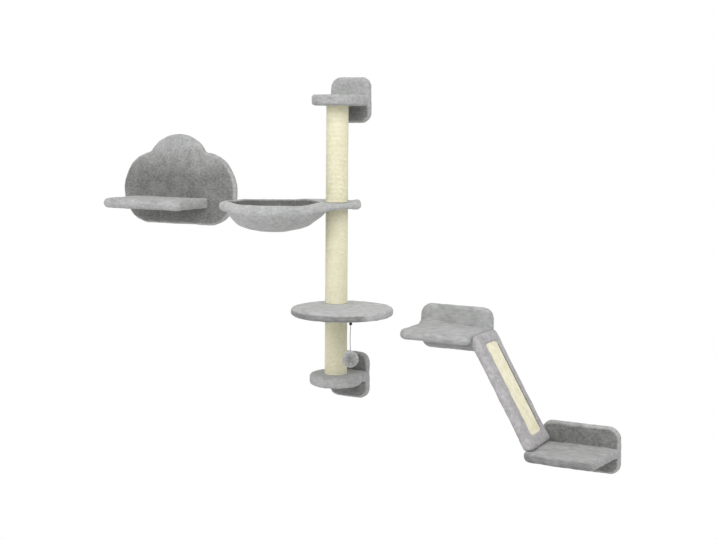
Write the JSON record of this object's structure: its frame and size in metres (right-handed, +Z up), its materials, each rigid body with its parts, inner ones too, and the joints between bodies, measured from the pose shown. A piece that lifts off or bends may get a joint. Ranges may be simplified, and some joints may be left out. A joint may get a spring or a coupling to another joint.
{
  "type": "wall mounted cat tree",
  "caption": "Wall-hung cat climbing set: a sisal post with a swivelling plush hammock and round platform with a hanging ball toy, a perch, and wall steps joined by a ramp.",
  "frame": {"origin": "middle of the top wall plate's back face, on the wall", "axes": "+X right along the wall as seen from the room, +Y into the wall, +Z up along the post"},
  "size_m": [2.272, 0.5171, 1.4635],
  "materials": {
    "grey_plush": "short pile plush over thin foam",
    "hammock_plush": "soft short pile plush",
    "sisal": "twisted sisal rope, matt and hairy",
    "board": "raw particle board",
    "cardboard": "spiral wound paper tube",
    "zinc_steel": "zinc plated steel",
    "black_bead": "glossy moulded bead",
    "elastic_cord": "braided elastic cord",
    "pompon": "fluffy pompon yarn"
  },
  "bodies": {
    "wall_set": {"bottom_end_board": "board", "bottom_end_cover": "grey_plush", "bottom_end_screws": "zinc_steel", "bottom_post_bolt": "zinc_steel", "bottom_wall_board": "board", "bottom_wall_cover": "grey_plush", "hammock_joining_rod": "zinc_steel", "lower_post_plugs": "board", "lower_post_tube": "cardboard", "lower_sisal_wrap": "sisal", "lower_step_screws": "zinc_steel", "lower_step_shelf_board": "board", "lower_step_shelf_cover": "grey_plush", "lower_step_wall_board": "board", "lower_step_wall_cover": "grey_plush", "middle_post_plugs": "board", "middle_post_tube": "cardboard", "middle_sisal_wrap": "sisal", "perch_screws": "zinc_steel", "perch_shelf_board": "board", "perch_shelf_cover": "grey_plush", "perch_wall_board": "board", "perch_wall_cover": "grey_plush", "platform_joining_rod": "zinc_steel", "ramp_board": "board", "ramp_cover": "grey_plush", "ramp_foot_screws": "zinc_steel", "ramp_head_screws": "zinc_steel", "ramp_sisal_mat": "sisal", "top_end_board": "board", "top_end_cover": "grey_plush", "top_end_screws": "zinc_steel", "top_post_bolt": "zinc_steel", "top_wall_board": "board", "top_wall_cover": "grey_plush", "upper_post_plugs": "board", "upper_post_tube": "cardboard", "upper_sisal_wrap": "sisal", "upper_step_screws": "zinc_steel", "upper_step_shelf_board": "board", "upper_step_shelf_cover": "grey_plush", "upper_step_wall_board": "board", "upper_step_wall_cover": "grey_plush"},
    "hammock": {"hammock_board": "board", "hammock_frame_cover": "grey_plush", "hammock_bag": "hammock_plush"},
    "platform": {"platform_board": "board", "platform_cover": "grey_plush"},
    "toy_swivel": {"toy_bead": "black_bead"},
    "toy": {"toy_cord": "elastic_cord", "toy_ball": "pompon"}
  },
  "joints": [
    {"name": "hammock_swivel", "type": "hinge", "parent": "wall_set", "child": "hammock", "pos_m": [0, -0.125, 0], "axis": [0, 0, 1], "range_deg": [-21, 113]},
    {"name": "platform_swivel", "type": "hinge", "parent": "wall_set", "child": "platform", "pos_m": [0, -0.125, 0], "axis": [0, 0, 1], "range_deg": [-90, 12]},
    {"name": "toy_swing_to_wall", "type": "hinge", "parent": "platform", "child": "toy_swivel", "pos_m": [0.19443, -0.36388, -0.8443], "axis": [1, 0, 0], "range_deg": [-35, 35]},
    {"name": "toy_swing_sideways", "type": "hinge", "parent": "toy_swivel", "child": "toy", "pos_m": [0.19443, -0.36388, -0.8443], "axis": [0, 1, 0], "range_deg": [-35, 35]}
  ]
}
